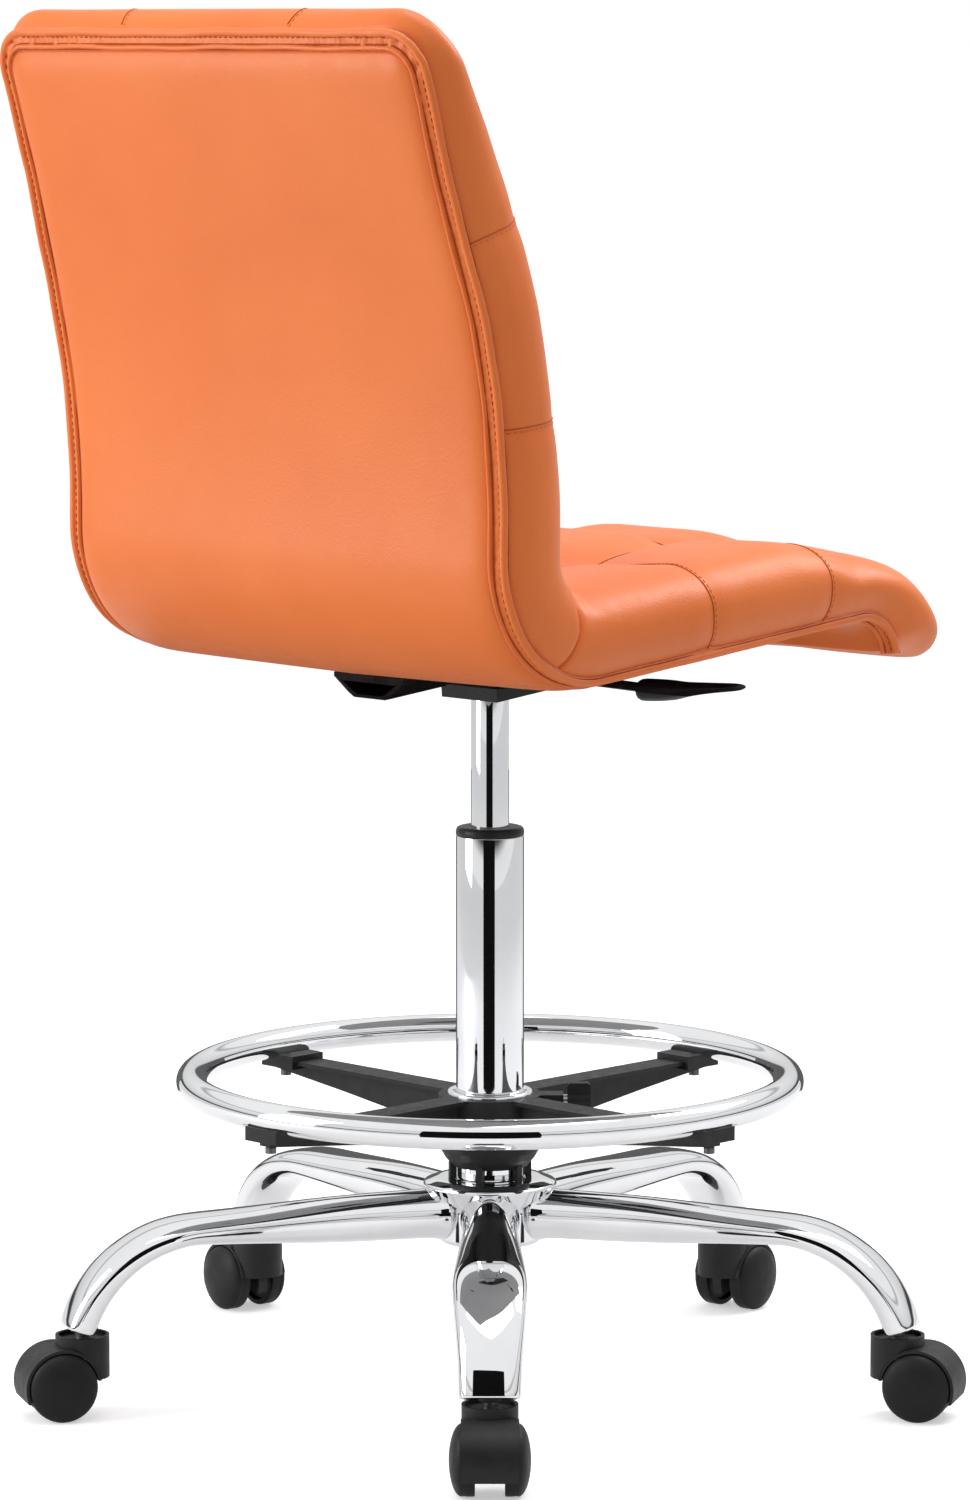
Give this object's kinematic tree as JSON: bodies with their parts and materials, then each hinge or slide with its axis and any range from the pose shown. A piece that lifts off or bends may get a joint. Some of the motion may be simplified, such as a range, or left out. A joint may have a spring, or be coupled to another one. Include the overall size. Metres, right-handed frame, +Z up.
{
  "type": "drafting chair",
  "caption": "Tall tufted faux-leather drafting chair with a chrome star base on twin-wheel casters, gas lift column and sliding chrome foot ring.",
  "frame": {"origin": "on the floor, under the column axis", "axes": "+Z up along the column; the seat faces -Y and the sitter's right side is -X"},
  "size_m": [0.6838, 0.68, 1.0071],
  "materials": {
    "chrome": "mirror polished chrome plating",
    "black_nylon": "fine moulded texture",
    "wheel_nylon": "moulded nylon, worn at the tread",
    "bush_plastic": "smooth moulded",
    "black_enamel": "gloss powder coat",
    "grip_plastic": "satin moulded grip",
    "bright_steel": "zinc plated",
    "dark_steel": "blackened",
    "plywood": "raw moulded plywood",
    "seat_leather": "fine-grained faux leather with a soft sheen"
  },
  "bodies": {
    "base": {"base_hub": "chrome", "base_leg_1": "chrome", "base_leg_2": "chrome", "base_leg_3": "chrome", "base_leg_4": "chrome", "base_leg_5": "chrome", "caster_sockets": "bush_plastic", "caster_stems": "bright_steel", "column_tube": "chrome", "column_bush": "bush_plastic", "column_base_plate": "bright_steel"},
    "piston": {"piston_rod": "bright_steel", "thrust_bearing": "bright_steel", "retaining_clip": "bright_steel"},
    "lift": {"lift_cylinder": "chrome", "mechanism_housing": "black_enamel", "tilt_pin": "bright_steel", "tilt_spring": "dark_steel"},
    "release_pin": {"release_pin": "bright_steel"},
    "lever": {"lever_rod": "black_enamel", "lever_handle": "grip_plastic"},
    "seat": {"seat_plate": "black_enamel", "plate_channel": "black_enamel", "seat_bolts": "dark_steel", "tee_nuts": "bright_steel", "shell_board": "plywood", "seat_pad": "seat_leather", "back_pad": "seat_leather", "rear_cover": "seat_leather", "edge_welt": "seat_leather"},
    "footrest": {"foot_hub": "black_nylon", "foot_hub_bush": "chrome", "foot_ring": "chrome", "foot_ring_screws": "dark_steel"},
    "clamp_knob": {"clamp_screw": "bright_steel", "clamp_wing": "black_nylon"},
    "caster_1": {"caster_housing_1": "black_nylon", "caster_axle_1": "bright_steel"},
    "wheel_left_1": {"wheel_left_1": "wheel_nylon"},
    "wheel_right_1": {"wheel_right_1": "wheel_nylon"},
    "caster_2": {"caster_housing_2": "black_nylon", "caster_axle_2": "bright_steel"},
    "wheel_left_2": {"wheel_left_2": "wheel_nylon"},
    "wheel_right_2": {"wheel_right_2": "wheel_nylon"},
    "caster_3": {"caster_housing_3": "black_nylon", "caster_axle_3": "bright_steel"},
    "wheel_left_3": {"wheel_left_3": "wheel_nylon"},
    "wheel_right_3": {"wheel_right_3": "wheel_nylon"},
    "caster_4": {"caster_housing_4": "black_nylon", "caster_axle_4": "bright_steel"},
    "wheel_left_4": {"wheel_left_4": "wheel_nylon"},
    "wheel_right_4": {"wheel_right_4": "wheel_nylon"},
    "caster_5": {"caster_housing_5": "black_nylon", "caster_axle_5": "bright_steel"},
    "wheel_left_5": {"wheel_left_5": "wheel_nylon"},
    "wheel_right_5": {"wheel_right_5": "wheel_nylon"}
  },
  "joints": [
    {"name": "seat_swivel", "type": "hinge", "parent": "base", "child": "piston", "pos_m": [0, 0, 0.115], "axis": [0, 0, 1], "continuous": true},
    {"name": "lift_height", "type": "slide", "parent": "piston", "child": "lift", "axis": [0, 0, 1], "range_m": [-0.08, 0.12]},
    {"name": "seat_tilt", "type": "hinge", "parent": "lift", "child": "seat", "pos_m": [0, -0.07724, 0.54104], "axis": [-1, 0, 0], "range_deg": [0, 6], "stiffness_Nm_per_rad": 80, "springref_deg": -20.05},
    {"name": "height_lever", "type": "hinge", "parent": "lift", "child": "lever", "pos_m": [-0.0265, -0.045, 0.526], "axis": [0, 1, 0], "range_deg": [0, 3.5], "stiffness_Nm_per_rad": 2, "springref_deg": -6.88},
    {"name": "pin_press", "type": "slide", "parent": "lift", "child": "release_pin", "axis": [0, 0, -1], "range_m": [0, 0.003], "stiffness_N_per_m": 60, "springref_m": -0.002},
    {"name": "foot_ring_height", "type": "slide", "parent": "base", "child": "footrest", "axis": [0, 0, 1], "range_m": [0, 0.15]},
    {"name": "clamp_turn", "type": "hinge", "parent": "footrest", "child": "clamp_knob", "pos_m": [-0.04316, -0.04168, 0.214], "axis": [-0.7193, -0.6947, 0], "range_deg": [-180, 180]},
    {"name": "caster_1_swivel", "type": "hinge", "parent": "base", "child": "caster_1", "pos_m": [-0.21534, 0.22299, 0.05], "axis": [0, 0, 1], "continuous": true},
    {"name": "wheel_left_1_spin", "type": "hinge", "parent": "caster_1", "child": "wheel_left_1", "pos_m": [-0.2282, 0.2363, 0.025], "axis": [-0.7193, -0.6947, 0], "continuous": true},
    {"name": "wheel_right_1_spin", "type": "hinge", "parent": "caster_1", "child": "wheel_right_1", "pos_m": [-0.2282, 0.2363, 0.025], "axis": [-0.7193, -0.6947, 0], "continuous": true},
    {"name": "caster_2_swivel", "type": "hinge", "parent": "base", "child": "caster_2", "pos_m": [-0.27863, -0.13589, 0.05], "axis": [0, 0, 1], "continuous": true},
    {"name": "wheel_left_2_spin", "type": "hinge", "parent": "caster_2", "child": "wheel_left_2", "pos_m": [-0.29525, -0.144, 0.025], "axis": [0.4384, -0.8988, 0], "continuous": true},
    {"name": "wheel_right_2_spin", "type": "hinge", "parent": "caster_2", "child": "wheel_right_2", "pos_m": [-0.29525, -0.144, 0.025], "axis": [0.4384, -0.8988, 0], "continuous": true},
    {"name": "caster_3_swivel", "type": "hinge", "parent": "base", "child": "caster_3", "pos_m": [0.04314, -0.30698, 0.05], "axis": [0, 0, 1], "continuous": true},
    {"name": "wheel_left_3_spin", "type": "hinge", "parent": "caster_3", "child": "wheel_left_3", "pos_m": [0.04572, -0.3253, 0.025], "axis": [0.9903, 0.1392, 0], "continuous": true},
    {"name": "wheel_right_3_spin", "type": "hinge", "parent": "caster_3", "child": "wheel_right_3", "pos_m": [0.04572, -0.3253, 0.025], "axis": [0.9903, 0.1392, 0], "continuous": true},
    {"name": "caster_4_swivel", "type": "hinge", "parent": "base", "child": "caster_4", "pos_m": [0.30529, -0.05383, 0.05], "axis": [0, 0, 1], "continuous": true},
    {"name": "wheel_left_4_spin", "type": "hinge", "parent": "caster_4", "child": "wheel_left_4", "pos_m": [0.32351, -0.05704, 0.025], "axis": [0.1736, 0.9848, 0], "continuous": true},
    {"name": "wheel_right_4_spin", "type": "hinge", "parent": "caster_4", "child": "wheel_right_4", "pos_m": [0.32351, -0.05704, 0.025], "axis": [0.1736, 0.9848, 0], "continuous": true},
    {"name": "caster_5_swivel", "type": "hinge", "parent": "base", "child": "caster_5", "pos_m": [0.14554, 0.27371, 0.05], "axis": [0, 0, 1], "continuous": true},
    {"name": "wheel_left_5_spin", "type": "hinge", "parent": "caster_5", "child": "wheel_left_5", "pos_m": [0.15422, 0.29005, 0.025], "axis": [-0.8829, 0.4695, 0], "continuous": true},
    {"name": "wheel_right_5_spin", "type": "hinge", "parent": "caster_5", "child": "wheel_right_5", "pos_m": [0.15422, 0.29005, 0.025], "axis": [-0.8829, 0.4695, 0], "continuous": true}
  ],
  "couplings": [
    {"joint": "pin_press", "follows": "height_lever", "m_per_rad": 0.0245}
  ]
}
